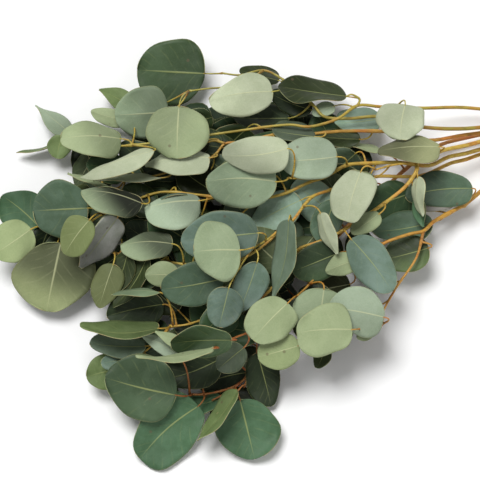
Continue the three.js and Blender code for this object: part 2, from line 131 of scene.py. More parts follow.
# Each stem: node, slot in the band, radius at the cut and at the tip, how far
# its cut end stands out, the main route and the side twigs.
STEMS = [
    ("stem_top", 1, 2.0, 0.9, 2,
     [(230, 135, 22), (185, 134, 34), (142, 135, 46), (119, 136, 50), (98, 122, 57),
      (69, 114, 60), (50, 116, 60), (0, 110, 60), (-50, 103, 56), (-95, 97, 50),
      (-130, 95, 40), (-165, 101, 30)],
     [[(119, 136, 50), (121, 142, 53), (113, 147, 56), (107, 145, 58)]]),
    ("stem_crown", 2, 2.3, 0.9, -3,
     [(230, 113, 34), (187, 114, 42), (160, 119, 44), (141, 125, 44), (110, 123, 44),
      (85, 125, 44), (75, 136, 43), (60, 150, 42), (44, 163, 40), (24, 173, 38),
      (0, 168, 37), (-18, 170, 36)],
     [[(24, 173, 38), (0, 157, 40), (-30, 154, 44), (-52, 151, 46)]]),
    ("stem_upper", 0, 2.2, 0.9, 5,
     [(230, 107, 24), (190, 101, 33), (153, 109, 42), (107, 110, 48), (92, 109, 50),
      (60, 106, 52), (34, 106, 54), (0, 98, 54), (-15, 97, 54), (-27, 84, 52),
      (-60, 72, 46), (-100, 62, 38), (-140, 62, 28)],
     [[(-15, 97, 54), (-25, 100, 56), (-34, 98, 57)]]),
    ("stem_yellow", 3, 2.4, 0.9, 0,
     [(230, 96, 38), (200, 89, 50), (178, 78, 60), (177, 70, 60), (167, 55, 58),
      (153, 43, 56), (130, 27, 56), (119, 20, 56), (100, 8, 53), (80, -1, 51),
      (57, -10, 49), (49, -22, 47), (30, -50, 42), (0, -70, 38), (-34, -78, 36),
      (-53, -84, 36), (-70, -86, 36)],
     [[(178, 78, 60), (153, 75, 70), (135, 70, 80)]]),
    ("stem_middle", 4, 2.4, 0.9, -4,
     [(230, 88, 28), (211, 84, 34), (190, 75, 42), (160, 78, 48), (131, 77, 56),
      (107, 75, 60), (85, 63, 60), (70, 58, 58), (40, 45, 55), (0, 40, 52),
      (-40, 45, 50), (-80, 48, 46), (-110, 38, 43), (-137, 26, 40), (-160, 14, 32),
      (-190, 10, 24)],
     [[(85, 63, 60), (68, 61, 66), (48, 62, 71)]]),
    ("stem_long", 6, 2.2, 0.9, 3,
     [(230, 82, 18), (214, 78, 22), (184, 65, 28), (164, 64, 34), (138, 64, 38),
      (110, 57, 44), (90, 50, 50), (72, 43, 57), (63, 33, 60), (51, 18, 62),
      (43, 14, 62), (30, 0, 60), (0, -20, 52), (-40, -26, 44), (-80, -20, 38),
      (-120, -14, 30), (-155, -4, 24)],
     [[(43, 14, 62), (28, 1, 68), (13, -8, 74)]]),
    ("stem_orange", 5, 2.5, 0.9, -2,
     [(230, 38, 20), (214, 29, 26), (194, 18, 33), (184, 9, 37), (170, 6, 40),
      (142, -4, 42), (115, -22, 40), (95, -33, 41), (77, -37, 44), (64, -49, 46),
      (56, -56, 47)],
     [[(184, 9, 37), (176, -18, 40), (156, -47, 38), (142, -73, 34), (141, -85, 32),
       (124, -87, 34)],
      [(142, -4, 42), (136, -1, 45), (131, -4, 47)]]),
    ("stem_low", 7, 2.2, 0.9, 4,
     [(230, 104, 12), (200, 95, 13), (160, 65, 14), (130, 35, 14), (100, 5, 14),
      (80, -22, 15), (62, -60, 17), (45, -95, 17), (27, -119, 18), (15, -126, 18),
      (0, -142, 18), (-13, -148, 18), (-36, -153, 19), (-50, -153, 20)],
     [[(0, -142, 18), (-14, -152, 17), (-28, -159, 17)],
      [(15, -126, 18), (7, -138, 17), (4, -146, 17)],
      [(45, -95, 17), (26, -88, 38), (7, -92, 56), (-10, -98, 66), (-26, -105, 70)]]),
]

# Each leaf that has a node of its own: base across and up, the way it points
# in degrees, length, width, pitch, roll, layer on the heap, which face shows,
# its tint, and its form: how egg-shaped, folded, arched and waved it is, with
# the last ones left out where they are as in PLAIN_FORM.
PLAIN_FORM = (0.1, 0.1, 0.05, 0)
LEAVES = [
    ("crown_round", -36, 170, 177, 69, 71, 0, 0, 1, "upper", "deep", 0.05, 0.06, 0.03),
    ("crown_grey", -73, 130, 183, 55, 52, -8, -12, 0, "under", "grey", 0.1, 0.12),
    ("crown_front", -61, 134, 268, 53, 64, 8, 4, 3, "under", "sage", 0.05, 0.05, 0.04),
    ("crown_pale", 33, 150, 188, 66, 47, 10, 8, 3, "under", "pale", 0.08, 0.08),
    ("crown_dark", 108, 146, 172, 70, 40, 6, 50, 2, "upper", "olive", 0.12, 0.1, 0.05, 0.12),
    ("left_pale", -120, 102, 180, 61, 46, 4, 24, 1, "under", "sage", 0.1, 0.12),
    ("left_folded", -86, 89, 200, 78, 48, 0, 64, 2, "under", "pale", 0.18, 0.22, 0.06),
    ("left_under", -30, 82, 187, 66, 50, -6, 50, 1, "under", "pale"),
    ("left_edge_on", -79, 62, 182, 68, 34, 0, 78, 0, "under", "pale", 0.15, 0.05, 0.04),
    ("left_shaded", -97, 36, 168, 62, 50, 0, 40, 0, "under", "dull", 0.12, 0.12),
    ("left_half", -40, 39, 188, 56, 60, -6, 30, 1, "under", "mist", 0.1, 0.1, 0.04),
    ("left_blue", -152, 32, 183, 55, 59, 0, 0, 2, "upper", "blue", 0.05, 0.06, 0.03),
    ("left_yellow", -149, 20, 234, 42, 34, 0, 0, 4, "under", "yellow", 0.12, 0.08),
    ("left_end_up", -203, 14, 140, 48, 46, 0, 12, 1, "upper", "green", 0.08, 0.08, 0.04),
    ("left_end_pale", -209, 11, 214, 46, 42, 6, 0, 3, "under", "straw", 0.08, 0.08),
    ("left_purple", -122, 22, 233, 62, 44, -4, -42, 1, "upper", "plum", 0.2, 0.16),
    ("left_big", -179, -3, 258, 70, 80, -4, 0, 0, "under", "leek", 0.05, 0.08),
    ("middle_shaded", -67, -4, 182, 52, 42, -4, 34, 0, "under", "dull"),
    ("middle_grey", -17, -38, 190, 62, 46, -4, -6, 1, "upper", "blue", 0.08, 0.08),
    ("middle_front", 0, -10, 182, 46, 60, 8, 4, 4, "under", "dull", 0.06),
    ("middle_blue", 18, 7, 186, 77, 52, -4, 0, 2, "upper", "slate", 0.08, 0.08, 0.04),
    ("middle_small", -11, -47, 256, 40, 36, 0, 4, 2, "upper", "slate", 0.1, 0.08),
    ("middle_drop", 17, -22, 250, 52, 34, 0, -6, 1, "upper", "slate"),
    ("middle_narrow", 48, 20, 259, 78, 36, 0, 50, 1, "upper", "grey", 0.2),
    ("middle_wave", 48, 91, 186, 66, 42, 4, 8, 3, "under", "pale", 0.05, 0.1, 0.05, 0.1),
    ("middle_curved", 36, 58, 180, 70, 56, 4, 0, 2, "under", "grey", 0.05, 0.1, 0.06, 0.12),
    ("middle_wide", 97, 83, 184, 58, 42, -4, 0, 1, "under", "mist", 0.1, 0.08, 0.04),
    ("middle_behind", 61, 40, 207, 58, 38, -4, 20, -2, "upper", "steel", 0.15, 0.08, 0.04),
    ("middle_round", 94, 25, 143, 52, 38, 4, 0, -1, "upper", "steel", 0.05, 0.08),
    ("middle_pale", 120, 68, 254, 52, 41, 6, 0, 4, "under", "pale", 0.08, 0.08),
    ("low_folded", -80, -87, 178, 78, 40, 4, 60, 2, "upper", "moss", 0.15, 0.16, 0.06, 0.06),
    ("low_olive", -8, -98, 183, 60, 40, 0, -42, 1, "upper", "deep", 0.12),
    ("low_edge_on", -26, -106, 185, 76, 34, 0, 76, 2, "under", "sage", 0.15, 0.05, -0.08),
    ("low_green", -63, -153, 166, 72, 66, 4, 0, 1, "upper", "leafy", 0.1, 0.06),
    ("low_corner", -41, -164, 222, 78, 60, 0, 0, 0, "upper", "green", 0.1, 0.08),
    ("low_narrow", -2, -148, 231, 64, 30, 4, 62, 1, "upper", "moss", 0.2, 0.2),
    ("low_round", 0, -158, 284, 60, 63, 0, 0, 0, "upper", "green", 0.05, 0.07),
    ("right_a", 47, -62, 226, 50, 46, 6, 0, 2, "under", "sage", 0.08, 0.07),
    ("right_b", 83, -48, 262, 54, 54, 0, 0, 1, "under", "dull", 0.08, 0.08),
    ("right_c", 110, -88, 183, 55, 52, 8, 0, 3, "under", "sage", 0.08, 0.08),
    ("right_d", 142, -76, 170, 56, 48, -2, 0, 2, "under", "mist", 0.1, 0.08),
    ("right_e", 58, -104, 196, 42, 36, -6, 0, 1, "under", "straw"),
    ("right_f", 110, 1, 308, 66, 40, 4, 0, 2, "upper", "slate", 0.1, 0.07),
    ("right_g", 189, -8, 195, 46, 38, 0, 20, -1, "upper", "leek", 0.1, 0.08),
    ("right_h", 100, -12, 202, 52, 36, 0, 0, -1, "upper", "deep", 0.12, 0.08),
    ("right_blue", 144, 124, 185, 48, 40, 0, 46, -1, "upper", "steel", 0.12, 0.08),
    ("right_hanging", 166, 136, 262, 36, 46, 6, 0, 4, "under", "pale", 0.08, 0.08),
    ("right_shaded", 200, 93, 184, 62, 44, -4, 46, 3, "under", "shade", 0.1, 0.12),
    ("right_pointed", 178, 63, 277, 40, 28, 4, 60, 3, "under", "pale", 0.2, 0.12),
    ("right_teal", 234, 52, 187, 68, 38, -2, 8, 1, "upper", "blue", 0.08, 0.08),
    ("right_long", 194, 18, 189, 62, 40, 0, 38, -1, "upper", "blue", 0.12),
]

# Smaller leaves that grow between the others and have no node of their own.
SMALL_LEAVES = [
    ("far_tip", -105, 133, 152, 44, 24, 0, 20, -1, "upper", "moss", 0.2),
    ("far_pale", -113, 121, 165, 40, 20, 0, 0, -1, "under", "sage", 0.15),
    ("left_tip", -170, 106, 141, 50, 26, 0, 44, -1, "under", "mist", 0.35, 0.15),
    ("left_blade", -176, 104, 196, 54, 20, 0, 78, -1, "upper", "moss", 0.25, 0.1, 0.08),
    ("left_nub", -180, 106, 255, 24, 24, 0, 0, -1, "upper", "moss"),
    ("left_sliver", -132, 52, 160, 44, 20, 0, 70, 0, "under", "sage", 0.2),
    ("brown_blade", -112, -12, 246, 52, 26, 0, 20, -1, "upper", "olive", 0.2),
    ("olive_blade", -92, -16, 236, 62, 30, 0, 40, -1, "upper", "olive", 0.2),
    ("grey_blade", -126, -24, 252, 46, 30, 0, 10, -1, "under", "moss", 0.2),
    ("dark_blade", -78, -20, 222, 56, 30, 0, 30, -1, "upper", "deep", 0.2),
    ("thin_green", -79, -52, 183, 48, 24, 0, 74, 0, "under", "green", 0.2),
    ("dark_left", -76, -64, 192, 58, 38, 0, 0, -2, "upper", "night", 0.15),
    ("pale_small", -60, -36, 178, 34, 26, 0, 0, 0, "under", "sage"),
    ("green_behind", -93, -105, 177, 56, 32, 0, 30, 0, "upper", "grey", 0.15),
    ("green_round", -115, -128, 192, 38, 38, 0, 0, -1, "upper", "moss"),
    ("pale_tip", -50, -108, 152, 38, 15, 0, 30, 1, "under", "sage", 0.2),
    ("pale_blade", -60, -116, 150, 42, 18, 0, 20, 0, "under", "mist", 0.2),
    ("grey_round", -104, -116, 190, 34, 22, 0, 20, 0, "upper", "slate", 0.2),
    ("night_low", 17, -112, 285, 55, 38, 0, 0, -4, "upper", "night", 0.15),
    ("night_mid", -20, -118, 200, 60, 36, 0, 10, -2, "upper", "night", 0.15),
    ("night_gap", 6, -132, 196, 50, 36, 0, 0, -4, "upper", "night", 0.15),
    ("dark_gap", -116, -10, 218, 48, 34, 0, 0, -3, "upper", "night", 0.15),
    ("teal_low", -19, -158, 190, 46, 26, 0, 40, -1, "upper", "green", 0.2),
    ("dusk_low", 4, -106, 220, 34, 28, 0, 0, 0, "upper", "dusk"),
    ("pale_fold", 80, 27, 292, 44, 26, 0, 50, 2, "under", "pale", 0.2),
    ("dark_upper", 73, 132, 158, 46, 26, 0, 0, 0, "upper", "night", 0.15),
    ("top_edge", 40, 163, 165, 42, 22, 0, 20, 0, "upper", "olive", 0.2),
    ("night_upper", 50, 124, 180, 56, 36, 0, 40, -1, "upper", "night", 0.15),
    ("mist_upper", 96, 136, 200, 24, 16, 0, 20, 0, "under", "mist", 0.15),
    ("olive_upper", 76, 104, 172, 44, 34, 0, 44, 1, "upper", "dusk", 0.12),
    ("brown_upper", 122, 102, 176, 46, 24, 0, 30, -1, "upper", "olive", 0.15),
    ("thin_pale", 144, 90, 171, 46, 24, 0, 72, -1, "under", "sage", 0.2),
    ("blue_middle", 94, 40, 258, 46, 34, 0, 0, -1, "upper", "blue", 0.12),
    ("pale_scrap", 134, 62, 200, 24, 18, 0, 0, 1, "under", "sage"),
    ("sage_middle", 139, 26, 215, 34, 20, 0, 20, 1, "under", "sage", 0.15),
    ("sage_low", 117, -20, 200, 34, 22, 0, 0, 0, "under", "sage", 0.15),
    ("green_right", 176, 42, 285, 30, 16, 0, 30, 1, "upper", "green", 0.3),
    ("plum_right", 218, 42, 190, 44, 24, 0, 30, 0, "under", "plum", 0.2),
    ("tiny_right", 132, -90, 200, 18, 12, 0, 0, 1, "under", "sage"),
    ("olive_low", 84, -104, 250, 24, 22, 0, 30, 0, "upper", "olive", 0.2),
]

# The outline of the leafy mass, inside which the lower leaves fill the heap.
MASS_OUTLINE = [
    (-110, 140), (-70, 150), (0, 150), (35, 158), (72, 146), (98, 128), (132, 118), (140, 100),
    (148, 76), (188, 62), (192, 20), (180, -20), (150, -28), (112, -32), (112, -46), (140, -60),
    (138, -85), (105, -112), (60, -118), (36, -140), (34, -175), (10, -205), (-30, -200),
    (-60, -190), (-100, -175), (-125, -165), (-145, -135), (-148, -115), (-143, -95), (-148, -82),
    (-130, -75), (-128, -60), (-143, -52), (-140, -38), (-150, -40), (-180, -60), (-215, -40),
    (-220, 15), (-195, 40), (-183, 65), (-180, 95), (-150, 115),
]

# Tints: the waxy upper face and the paler underside of each kind of leaf.
TINT_LAYERS = ("upper_tint", "under_tint")
TINTS = {
    "deep": ((0.068, 0.115, 0.054), (0.2, 0.26, 0.15)),
    "grey": ((0.15, 0.21, 0.15), (0.283, 0.366, 0.244)),
    "sage": ((0.15, 0.215, 0.135), (0.377, 0.453, 0.259)),
    "pale": ((0.2, 0.27, 0.18), (0.56, 0.62, 0.44)),
    "mist": ((0.15, 0.22, 0.16), (0.41, 0.51, 0.375)),
    "blue": ((0.098, 0.161, 0.105), (0.28, 0.36, 0.28)),
    # This tint is slate lightened: painted light, for leaves that lie low in the shade of others.
    "steel": ((0.31, 0.44, 0.35), (0.4, 0.48, 0.4)),
    "slate": ((0.165, 0.245, 0.198), (0.32, 0.4, 0.32)),
    "green": ((0.088, 0.179, 0.096), (0.24, 0.33, 0.2)),
    "leafy": ((0.08, 0.132, 0.07), (0.24, 0.33, 0.2)),
    "leek": ((0.12, 0.18, 0.07), (0.31, 0.355, 0.18)),
    "dull": ((0.15, 0.21, 0.15), (0.304, 0.38, 0.237)),
    "dusk": ((0.09, 0.12, 0.08), (0.19, 0.235, 0.16)),
    # This tint is straw darkened: painted shade, for a leaf half in shadow.
    "shade": ((0.12, 0.15, 0.08), (0.361, 0.386, 0.203)),
    # This tint is near black: painted shade, for small leaves in the dark gaps of the heap.
    "night": ((0.024, 0.04, 0.016), (0.09, 0.11, 0.07)),
    "olive": ((0.037, 0.054, 0.018), (0.2, 0.23, 0.11)),
    "moss": ((0.175, 0.245, 0.096), (0.145, 0.17, 0.072)),
    "yellow": ((0.18, 0.23, 0.09), (0.215, 0.265, 0.105)),
    "straw": ((0.22, 0.27, 0.13), (0.36, 0.44, 0.22)),
    "plum": ((0.4, 0.415, 0.385), (0.3, 0.285, 0.27)),
}

# Outlines that differ from a plain oval: how blunt (1 is an oval, less is
# squarer), how drawn out the tip is, how far the midrib bends sideways, and
# how much narrower the left half is than the right.  The last two are none
# where they are left out.
OUTLINES = {
    "crown_round": (0.92, 0.02), "crown_front": (0.92, 0.05, 0.01),
    "crown_pale": (0.8, 0.2, 0.03, 0.15), "crown_dark": (0.78, 0, -0.05),
    "crown_grey": (0.88, 0.1, 0, -0.1), "left_pale": (0.8, 0, 0.03, 0.25),
    "left_folded": (1.0, 0.75, -0.05, 0.1), "left_under": (0.92, 0.6, 0.05, 0.3),
    "left_edge_on": (1.0, 0.5), "left_shaded": (0.85, 0.15, 0.04, 0.7),
    "left_half": (0.75, 0.05, 0.03, 0.8), "left_purple": (0.95, 0.4, 0.04, 0.1),
    "left_big": (0.9, 0.12), "left_blue": (0.92, 0.04), "left_yellow": (0.9, 0.05, 0.03),
    "middle_shaded": (0.85, 0.1, 0.04, 0.35), "middle_front": (0.86, 0.05, 0.02),
    "middle_blue": (0.95, 0.1), "middle_small": (0.9, 0.08), "middle_drop": (0.95, 0.2, 0.02),
    "middle_narrow": (1.0, 0.45, 0.02), "middle_wave": (0.8, 0.15, -0.06, 0.1),
    "middle_curved": (0.82, 0, 0.05, 0.1), "middle_wide": (0.82, 0.1, -0.02, -0.1),
    "middle_behind": (0.95, 0.45, -0.03), "middle_pale": (0.6, 0, 0.03),
    "low_folded": (0.95, 0.4, 0.05, 0.2), "low_edge_on": (1.0, 0.6, 0.02),
    "low_green": (0.95, 0.12, 0.02), "low_corner": (0.66, 0, -0.05), "low_narrow": (1.0, 0.4),
    "low_round": (0.92, 0.06), "right_a": (0.72, 0.04, 0.02), "right_b": (0.85, 0),
    "right_c": (0.7, 0, 0.03), "right_d": (0.85, 0.15, 0.02), "right_e": (0.85, 0.05),
    "right_f": (0.92, 0.05, 0.03), "right_blue": (0.9, 0.2),
    "right_hanging": (0.42, 0.45, 0.04, -0.15), "right_shaded": (0.9, 0.2, 0, 0.2),
    "right_pointed": (1.0, 0.5, 0.1, 0.2), "right_teal": (0.85, 0.25, -0.05),
    "right_long": (0.9, 0.35), "far_tip": (1.05, 0.6, -0.04, 0.1), "left_tip": (1.15, 0.8, -0.04),
    "left_blade": (1.1, 0.6, 0.06), "brown_blade": (1.0, 0.45, 0.05),
    "olive_blade": (1.0, 0.5, 0.04, 0.1), "grey_blade": (0.9, 0.2), "dark_blade": (1.0, 0.5),
    "pale_tip": (1.1, 0.6), "pale_blade": (1.0, 0.4, 0.05), "thin_green": (1.1, 0.6, 0.05),
    "pale_fold": (1.0, 0.4, 0.03, 0.1), "green_right": (1.1, 0.5),
}

# Leaves painted darker to one side: mostly painted shade, from the leaves
# above them and the curl of the blade, partly the leaf's own uneven colour.
# For each, the way that side faces, in degrees counted like a heading, and
# how much darker it gets.
PAINTED_SHADE_SIDES = {
    "crown_grey": (20, 0.38), "left_pale": (20, 0.4), "left_shaded": (40, 0.95),
    "left_half": (50, 0.5), "left_under": (300, 0.12), "left_big": (70, 0.7),
    "middle_shaded": (45, 0.75), "middle_wave": (240, 0.4), "middle_curved": (200, 0.15),
    "middle_wide": (60, 0.25), "middle_grey": (30, 0.22), "low_folded": (60, 0.5),
    "low_green": (100, 0.3), "low_olive": (200, 0.4), "right_shaded": (160, 0.6),
    "right_g": (110, 0.75), "right_h": (90, 0.5), "right_blue": (30, 0.35),
    "left_purple": (250, 0.35), "crown_round": (330, 0.25), "right_teal": (180, 0.5),
    "right_long": (60, 0.15),
}

# Leaves broader near the stalk, and leaves whose left side is broadest
# farther from the stalk than the right: by how much each.
BELLIES = {
    "crown_pale": (0.16, -0.35), "middle_curved": (0.25, -0.3), "middle_wave": (0.2, 0.3),
    "left_half": (0.1, -0.2), "left_shaded": (0.1, -0.25), "middle_shaded": (0.15, -0.3),
    "left_under": (0.2, 0.2), "left_folded": (0.1, -0.2), "left_pale": (-0.05, 0.35),
    "crown_round": (0, 0.18), "crown_grey": (0.05, -0.2), "left_big": (0, 0.2),
    "middle_front": (0.05, 0.22), "middle_pale": (0, 0.25), "low_corner": (-0.05, 0.3),
    "low_green": (0.05, -0.2), "right_a": (0, 0.25), "right_c": (0, -0.25),
    "right_d": (0.05, 0.25), "crown_dark": (-0.1, 0.2), "right_shaded": (0.1, 0.3),
}


def spread(number, salt=0.0):
    """A steady pseudo-random value from 0 to 1 for a whole number."""
    value = math.sin(number * 12.9898 + salt * 78.233 + 4.1) * 43758.5453
    return value - math.floor(value)


def in_sight(across, up, toward):
    return RIGHT * across + RISE * up + TOWARD * toward


def place(across, up, height):
    return in_sight(across, up, (height - up * RISE.z) / TOWARD.z)


def heap_height(across, up):
    sideways = max(0, 1 - (across / HEAP_HALF_ACROSS) ** 2)
    lengthways = max(0, 1 - ((up - HEAP_MIDDLE_UP) / HEAP_HALF_UP) ** 2)
    return HEAP_EDGE + HEAP_TOP * sideways * lengthways


def band_centre():
    return place(BAND_ACROSS, BAND_UP, BAND_OUTSIDE)


low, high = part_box("rubber_band")
SHIFT = (Vector(low) + Vector(high)) / 2 - band_centre() * MM


def in_metres(spot):
    """From the layout in millimetres to the finished model in metres."""
    return spot * MM + SHIFT


# ---------------------------------------------------------------- leaves
class Leaf:
    """One leaf: where it grows, how it lies and its tint."""

    def __init__(self, number, name, spec):
        self.number = number
        self.name = name
        (self.across, self.up, self.heading, self.length, self.width, self.pitch,
         self.roll, self.layer, self.face, self.tint, *form) = spec
        self.form = (*form, *PLAIN_FORM[len(form):])
        plain = (0.84 + 0.2 * spread(number, 13), 0.3 * spread(number, 14) ** 2,
                 0.08 * (spread(number, 15) - 0.5), 0.3 * (spread(number, 16) - 0.5))
        self.shade = 0.78 + 0.18 * spread(number, 3)
        self.warmth = WARMTH
        # The darker side is painted shade: as listed for some leaves, slight and at random for
        # the others.
        self.dark_side, self.darker = PAINTED_SHADE_SIDES.get(
            name, (360 * spread(number, 17), 0.3 * spread(number, 18)))
        outline = OUTLINES.get(name, plain)
        self.blunt, self.drawn, self.bend, self.lopsided = (*outline, 0, 0)[:4]
        self.belly, self.skew = BELLIES.get(name, (0.0, 0.4 * (spread(number, 19) - 0.5)))
        self.find_axes()
        self.base = self.find_base()

    def find_axes(self):
        turn = math.radians(self.heading)
        pitch = math.radians(self.pitch)
        roll = math.radians(self.roll)
        flat = RIGHT * math.cos(turn) + RISE * math.sin(turn)
        side = RISE * math.cos(turn) - RIGHT * math.sin(turn)
        self.along = flat * math.cos(pitch) + TOWARD * math.sin(pitch)
        lifted = TOWARD * math.cos(pitch) - flat * math.sin(pitch)
        self.left = side * math.cos(roll) + lifted * math.sin(roll)
        self.out = lifted * math.cos(roll) - side * math.sin(roll)
        if self.face == "under":
            self.left = -self.left
            self.out = -self.out

    def find_base(self):
        turn = math.radians(self.heading)
        pitch = math.radians(self.pitch)
        half = 0.5 * self.length
        across = self.across + half * math.cos(pitch) * math.cos(turn)
        up = self.up + half * math.cos(pitch) * math.sin(turn)
        height = heap_height(across, up) + LAYER * self.layer
        toward = (height - up * RISE.z) / TOWARD.z
        return in_sight(self.across, self.up, toward - half * math.sin(pitch))

    def point(self, x, y):
        """The place on the blade for a square of -0.5 to 0.5 each way."""
        ovate, fold, arch, wave = self.form
        angle = math.pi * (x + 0.5)
        run = 0.5 * (1 - math.cos(angle))
        side = 2 * y
        phase = 6.28 * spread(self.number, 1)
        turned = angle - self.skew * side * math.sin(angle)
        swell = max(0.0, math.sin(turned)) ** self.blunt * (
            1 + (ovate + self.belly) * math.cos(turned))
        swell *= 1 - self.drawn * max(0.0, (run - 0.55) / 0.45) ** 1.5
        uneven = math.sin(2.6 * angle + phase + 1.9 * side) + 0.5 * math.sin(
            5.3 * angle + 2 * phase - 2.7 * side)
        swell *= (1 + 0.04 * uneven) * (1 - self.lopsided * max(0.0, side))
        half = max(BLADE_END, 0.5 * self.width * swell)
        ripple = self.width * side ** 2 * (
            0.03 * math.sin(4.5 * angle + phase + 2 * side)
            + 0.03 * math.sin(1.8 * angle + 3 * phase + side))
        groove = 0.35 * math.exp(-(side * half / 1.1) ** 2)
        sway = self.bend * self.length * math.sin(math.pi * run)
        lift = (fold * abs(side) * half
                - arch * self.length * math.sin(math.pi * run)
                + wave * side * half * math.sin(2 * math.pi * run)
                + ripple - groove)
        return (self.base + self.along * (self.length * run)
                + self.left * (side * half + sway) + self.out * lift)


def smooth_step(value, start, stop):
    t = min(1.0, max(0.0, (value - start) / (stop - start)))
    return t * t * (3 - 2 * t)


def shape_blade(bm, leaf, steps_along, steps_across):
    """Add one leaf's blade to a mesh and tint it."""
    grid = bmesh.ops.create_grid(
        bm, x_segments=steps_along, y_segments=steps_across, size=0.5, calc_uvs=True)
    layers = [bm.verts.layers.float_color[name] for name in TINT_LAYERS]
    # One side of the blade is darkened in its tint: painted shade, partly the leaf's own uneven
    # colour.
    turn = math.radians(leaf.dark_side)
    painted_shade_way = (RIGHT * math.cos(turn) + RISE * math.sin(turn)) * (2 / leaf.length)
    middle = leaf.point(0, 0)
    for vert in grid["verts"]:
        spot = leaf.point(vert.co.x, vert.co.y)
        vert.co = in_metres(spot)
        darker = leaf.darker * smooth_step(
            (spot - middle).dot(painted_shade_way), -0.45 - 0.5 * leaf.darker, 0.7 - 0.6 * leaf.darker)
        shade = leaf.shade * (1 - darker)
        for layer, (red, green, blue) in zip(layers, TINTS[leaf.tint]):
            vert[layer] = (red * shade, green * shade, blue * shade * leaf.warmth, 1)


def new_leaf_mesh():
    bm = bmesh.new()
    bm.loops.layers.uv.new("UVMap")
    for name in TINT_LAYERS:
        bm.verts.layers.float_color.new(name)
    return bm


def finish_piece(name, bm, materials, smooth=True):
    mesh = bpy.data.meshes.new(name)
    bm.to_mesh(mesh)
    bm.free()
    for material in materials:
        mesh.materials.append(material)
    piece = bpy.data.objects.new(name, mesh)
    bpy.context.collection.objects.link(piece)
    if smooth:
        mesh.shade_smooth()
    return piece


def thicken(piece, thickness):
    shell = piece.modifiers.new("blade thickness", "SOLIDIFY")
    shell.thickness = thickness
    shell.offset = 0
    shell.use_even_offset = False
    shell.material_offset = 1
    shell.material_offset_rim = 2


# ---------------------------------------------------------------- materials
def fresh_material(name):
    material = bpy.data.materials.new(name)
    material.use_nodes = True
    tree = material.node_tree
    tree.nodes.clear()
    output = tree.nodes.new("ShaderNodeOutputMaterial")
    shader = tree.nodes.new("ShaderNodeBsdfPrincipled")
    tree.links.new(shader.outputs["BSDF"], output.inputs["Surface"])
    return material, tree, shader


def feed(tree, socket, value):
    """Link a socket to another node's output, or set it to a plain value."""
    if isinstance(value, bpy.types.NodeSocket):
        tree.links.new(value, socket)
    else:
        socket.default_value = value


def math_node(tree, operation, first, second=0.0, third=None):
    node = tree.nodes.new("ShaderNodeMath")
    node.operation = operation
    feed(tree, node.inputs[0], first)
    feed(tree, node.inputs[1], second)
    if third is not None:
        feed(tree, node.inputs[2], third)
    return node.outputs[0]


def ramp_between(tree, value, start, stop, low_value=0.0, high_value=1.0):
    """A smooth step of a value between two limits."""
    node = tree.nodes.new("ShaderNodeMapRange")
    node.interpolation_type = "SMOOTHSTEP"
    feed(tree, node.inputs["Value"], value)
    limits = {"From Min": start, "From Max": stop, "To Min": low_value, "To Max": high_value}
    for socket, limit in limits.items():
        node.inputs[socket].default_value = limit
    return node.outputs["Result"]


def blend_colour(tree, factor, first, second, mode="MIX"):
    node = tree.nodes.new("ShaderNodeMix")
    node.data_type = "RGBA"
    node.blend_type = mode
    feed(tree, node.inputs["Factor"], factor)
    feed(tree, node.inputs["A"], first)
    feed(tree, node.inputs["B"], second)
    return node.outputs["Result"]


def noise(tree, vector, scale, detail=4.0, roughness=0.55):
    node = tree.nodes.new("ShaderNodeTexNoise")
    node.inputs["Scale"].default_value = scale
    node.inputs["Detail"].default_value = detail
    node.inputs["Roughness"].default_value = roughness
    feed(tree, node.inputs["Vector"], vector)
    return node.outputs["Fac"]


def add_bump(tree, shader, height, distance, strength=1.0):
    bump = tree.nodes.new("ShaderNodeBump")
    bump.inputs["Strength"].default_value = strength
    bump.inputs["Distance"].default_value = distance
    feed(tree, bump.inputs["Height"], height)
    tree.links.new(bump.outputs["Normal"], shader.inputs["Normal"])


